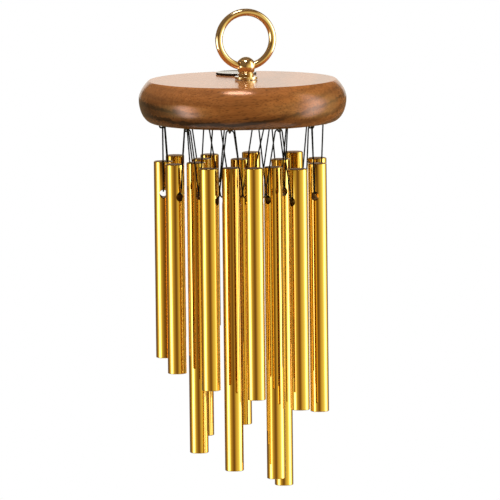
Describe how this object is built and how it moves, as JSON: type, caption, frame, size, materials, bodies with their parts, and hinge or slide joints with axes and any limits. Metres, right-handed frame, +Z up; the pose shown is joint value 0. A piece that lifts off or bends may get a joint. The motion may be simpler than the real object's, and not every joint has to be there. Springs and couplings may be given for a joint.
{
  "type": "hand chime",
  "caption": "Hand chime: a turned wood disc on a finger ring, with graded metal bars hung on cords in two rings below it, which ring when it is shaken.",
  "frame": {"origin": "inside top of the hanging ring, where a finger or a hook carries it", "axes": "+Z up along the hanging direction, -Y the pictured front, +X to the right"},
  "size_m": [0.1058, 0.1058, 0.246],
  "materials": {
    "hanging_ring": "polished",
    "ring_post": "polished",
    "wood_disc": "clear lacquer, gloss",
    "badge": "plain nickel plate",
    "bar": "polished, gold anodised",
    "cord": "black twisted cord",
    "staple": "blued wire",
    "post_washer": "zinc plated",
    "post_nut": "zinc plated"
  },
  "bodies": {
    "ring": {"hanging_ring": "hanging_ring"},
    "head": {"wood_disc": "wood_disc", "ring_post": "ring_post", "post_washer": "post_washer", "post_nut": "post_nut", "badge": "badge", "staple_01": "staple", "staple_02": "staple", "staple_03": "staple", "staple_04": "staple", "staple_05": "staple", "staple_06": "staple", "staple_07": "staple", "staple_08": "staple", "staple_09": "staple", "staple_10": "staple", "staple_11": "staple", "staple_12": "staple", "staple_13": "staple", "staple_14": "staple", "staple_15": "staple", "staple_16": "staple", "staple_17": "staple"},
    "cord_01": {"cord_01": "cord"},
    "bar_01": {"bar_01": "bar"},
    "cord_02": {"cord_02": "cord"},
    "bar_02": {"bar_02": "bar"},
    "cord_03": {"cord_03": "cord"},
    "bar_03": {"bar_03": "bar"},
    "cord_04": {"cord_04": "cord"},
    "bar_04": {"bar_04": "bar"},
    "cord_05": {"cord_05": "cord"},
    "bar_05": {"bar_05": "bar"},
    "cord_06": {"cord_06": "cord"},
    "bar_06": {"bar_06": "bar"},
    "cord_07": {"cord_07": "cord"},
    "bar_07": {"bar_07": "bar"},
    "cord_08": {"cord_08": "cord"},
    "bar_08": {"bar_08": "bar"},
    "cord_09": {"cord_09": "cord"},
    "bar_09": {"bar_09": "bar"},
    "cord_10": {"cord_10": "cord"},
    "bar_10": {"bar_10": "bar"},
    "cord_11": {"cord_11": "cord"},
    "bar_11": {"bar_11": "bar"},
    "cord_12": {"cord_12": "cord"},
    "bar_12": {"bar_12": "bar"},
    "cord_13": {"cord_13": "cord"},
    "bar_13": {"bar_13": "bar"},
    "cord_14": {"cord_14": "cord"},
    "bar_14": {"bar_14": "bar"},
    "cord_15": {"cord_15": "cord"},
    "bar_15": {"bar_15": "bar"},
    "cord_16": {"cord_16": "cord"},
    "bar_16": {"bar_16": "bar"},
    "cord_17": {"cord_17": "cord"},
    "bar_17": {"bar_17": "bar"}
  },
  "joints": [
    {"name": "head_swing", "type": "hinge", "parent": "ring", "child": "head", "pos_m": [0, 0, -0.02574], "axis": [0.9781, 0.2079, 0], "range_deg": [-95, 95]},
    {"name": "cord_swing_01", "type": "hinge", "parent": "head", "child": "cord_01", "pos_m": [0.02404, 0.03011, -0.05452], "axis": [0.749, -0.6626, 0], "range_deg": [-12.25, 75]},
    {"name": "bar_rock_01", "type": "hinge", "parent": "cord_01", "child": "bar_01", "pos_m": [0.02404, 0.03011, -0.08767], "axis": [-0.749, 0.6626, 0], "range_deg": [-45, 18.75]},
    {"name": "cord_swing_02", "type": "hinge", "parent": "head", "child": "cord_02", "pos_m": [0.00214, 0.03992, -0.05452], "axis": [0.993, -0.1179, 0], "range_deg": [-4.5, 75]},
    {"name": "bar_rock_02", "type": "hinge", "parent": "cord_02", "child": "bar_02", "pos_m": [0.00214, 0.03992, -0.08867], "axis": [-0.993, 0.1179, 0], "range_deg": [-40, 7]},
    {"name": "cord_swing_03", "type": "hinge", "parent": "head", "child": "cord_03", "pos_m": [-0.01924, 0.03659, -0.05452], "axis": [0.9103, 0.414, 0], "range_deg": [-7.5, 75]},
    {"name": "bar_rock_03", "type": "hinge", "parent": "cord_03", "child": "bar_03", "pos_m": [-0.01924, 0.03659, -0.08927], "axis": [-0.9103, -0.414, 0], "range_deg": [-45, 11]},
    {"name": "cord_swing_04", "type": "hinge", "parent": "head", "child": "cord_04", "pos_m": [-0.03694, 0.0209, -0.05452], "axis": [0.5198, 0.8543, 0], "range_deg": [-2.75, 75]},
    {"name": "bar_rock_04", "type": "hinge", "parent": "cord_04", "child": "bar_04", "pos_m": [-0.03694, 0.0209, -0.08787], "axis": [-0.5198, -0.8543, 0], "range_deg": [-24.5, 4]},
    {"name": "cord_swing_05", "type": "hinge", "parent": "head", "child": "cord_05", "pos_m": [-0.0428, -0.00029, -0.05452], "axis": [-0.0071, 1, 0], "range_deg": [-6, 75]},
    {"name": "bar_rock_05", "type": "hinge", "parent": "cord_05", "child": "bar_05", "pos_m": [-0.0428, -0.00029, -0.08867], "axis": [0.0071, -1, 0], "range_deg": [-45, 8.5]},
    {"name": "cord_swing_06", "type": "hinge", "parent": "head", "child": "cord_06", "pos_m": [-0.03664, -0.02138, -0.05452], "axis": [-0.5319, 0.8468, 0], "range_deg": [-3, 75]},
    {"name": "bar_rock_06", "type": "hinge", "parent": "cord_06", "child": "bar_06", "pos_m": [-0.03664, -0.02138, -0.08817], "axis": [0.5319, -0.8468, 0], "range_deg": [-31.5, 4.25]},
    {"name": "cord_swing_07", "type": "hinge", "parent": "head", "child": "cord_07", "pos_m": [-0.01936, -0.03654, -0.05452], "axis": [-0.909, 0.4169, 0], "range_deg": [-3.5, 75]},
    {"name": "bar_rock_07", "type": "hinge", "parent": "cord_07", "child": "bar_07", "pos_m": [-0.01936, -0.03654, -0.08897], "axis": [0.909, -0.4169, 0], "range_deg": [-40, 4.75]},
    {"name": "cord_swing_08", "type": "hinge", "parent": "head", "child": "cord_08", "pos_m": [0.00341, -0.03975, -0.05452], "axis": [-0.9888, -0.1494, 0], "range_deg": [-6, 75]},
    {"name": "bar_rock_08", "type": "hinge", "parent": "cord_08", "child": "bar_08", "pos_m": [0.00341, -0.03975, -0.08867], "axis": [0.9888, 0.1494, 0], "range_deg": [-45, 8]},
    {"name": "cord_swing_09", "type": "hinge", "parent": "head", "child": "cord_09", "pos_m": [0.02574, -0.02852, -0.05452], "axis": [-0.7093, -0.7049, 0], "range_deg": [-3.5, 75]},
    {"name": "bar_rock_09", "type": "hinge", "parent": "cord_09", "child": "bar_09", "pos_m": [0.02574, -0.02852, -0.09047], "axis": [0.7093, 0.7049, 0], "range_deg": [-44.5, 4.75]},
    {"name": "cord_swing_10", "type": "hinge", "parent": "head", "child": "cord_10", "pos_m": [0.03564, -0.01239, -0.05452], "axis": [-0.3083, -0.9513, 0], "range_deg": [-6.75, 75]},
    {"name": "bar_rock_10", "type": "hinge", "parent": "cord_10", "child": "bar_10", "pos_m": [0.03564, -0.01239, -0.08937], "axis": [0.3083, 0.9513, 0], "range_deg": [-45, 8.75]},
    {"name": "cord_swing_11", "type": "hinge", "parent": "head", "child": "cord_11", "pos_m": [0.03589, 0.0116, -0.05452], "axis": [0.2886, -0.9575, 0], "range_deg": [-3.5, 75]},
    {"name": "bar_rock_11", "type": "hinge", "parent": "cord_11", "child": "bar_11", "pos_m": [0.03589, 0.0116, -0.08907], "axis": [-0.2886, 0.9575, 0], "range_deg": [-45, 4.5]},
    {"name": "cord_swing_12", "type": "hinge", "parent": "head", "child": "cord_12", "pos_m": [-0.00369, 0.02318, -0.05452], "axis": [0.999, -0.0436, 0], "range_deg": [-8, 4.75]},
    {"name": "bar_rock_12", "type": "hinge", "parent": "cord_12", "child": "bar_12", "pos_m": [-0.00369, 0.02318, -0.09037], "axis": [-0.999, 0.0436, 0], "range_deg": [-7.25, 8]},
    {"name": "cord_swing_13", "type": "hinge", "parent": "head", "child": "cord_13", "pos_m": [-0.02323, 0.01396, -0.05452], "axis": [0.6018, 0.7986, 0], "range_deg": [-8, 2.75]},
    {"name": "bar_rock_13", "type": "hinge", "parent": "cord_13", "child": "bar_13", "pos_m": [-0.02323, 0.01396, -0.08907], "axis": [-0.6018, -0.7986, 0], "range_deg": [-4.25, 8]},
    {"name": "cord_swing_14", "type": "hinge", "parent": "head", "child": "cord_14", "pos_m": [-0.02606, -0.00907, -0.05452], "axis": [-0.3907, 0.9205, 0], "range_deg": [-8, 3.5]},
    {"name": "bar_rock_14", "type": "hinge", "parent": "cord_14", "child": "bar_14", "pos_m": [-0.02606, -0.00907, -0.08867], "axis": [0.3907, -0.9205, 0], "range_deg": [-5, 8]},
    {"name": "cord_swing_15", "type": "hinge", "parent": "head", "child": "cord_15", "pos_m": [-0.00813, -0.02295, -0.05452], "axis": [-0.989, 0.1478, 0], "range_deg": [-8, 5]},
    {"name": "bar_rock_15", "type": "hinge", "parent": "cord_15", "child": "bar_15", "pos_m": [-0.00813, -0.02295, -0.09017], "axis": [0.989, -0.1478, 0], "range_deg": [-6.75, 8]},
    {"name": "cord_swing_16", "type": "hinge", "parent": "head", "child": "cord_16", "pos_m": [0.0132, -0.01476, -0.05452], "axis": [-0.6361, -0.7716, 0], "range_deg": [-8, 3.5]},
    {"name": "bar_rock_16", "type": "hinge", "parent": "cord_16", "child": "bar_16", "pos_m": [0.0132, -0.01476, -0.09077], "axis": [0.6361, 0.7716, 0], "range_deg": [-4.75, 8]},
    {"name": "cord_swing_17", "type": "hinge", "parent": "head", "child": "cord_17", "pos_m": [0.01717, 0.00774, -0.05452], "axis": [0.3338, -0.9426, 0], "range_deg": [-8, 3.5]},
    {"name": "bar_rock_17", "type": "hinge", "parent": "cord_17", "child": "bar_17", "pos_m": [0.01717, 0.00774, -0.08907], "axis": [-0.3338, 0.9426, 0], "range_deg": [-4.5, 8]}
  ]
}
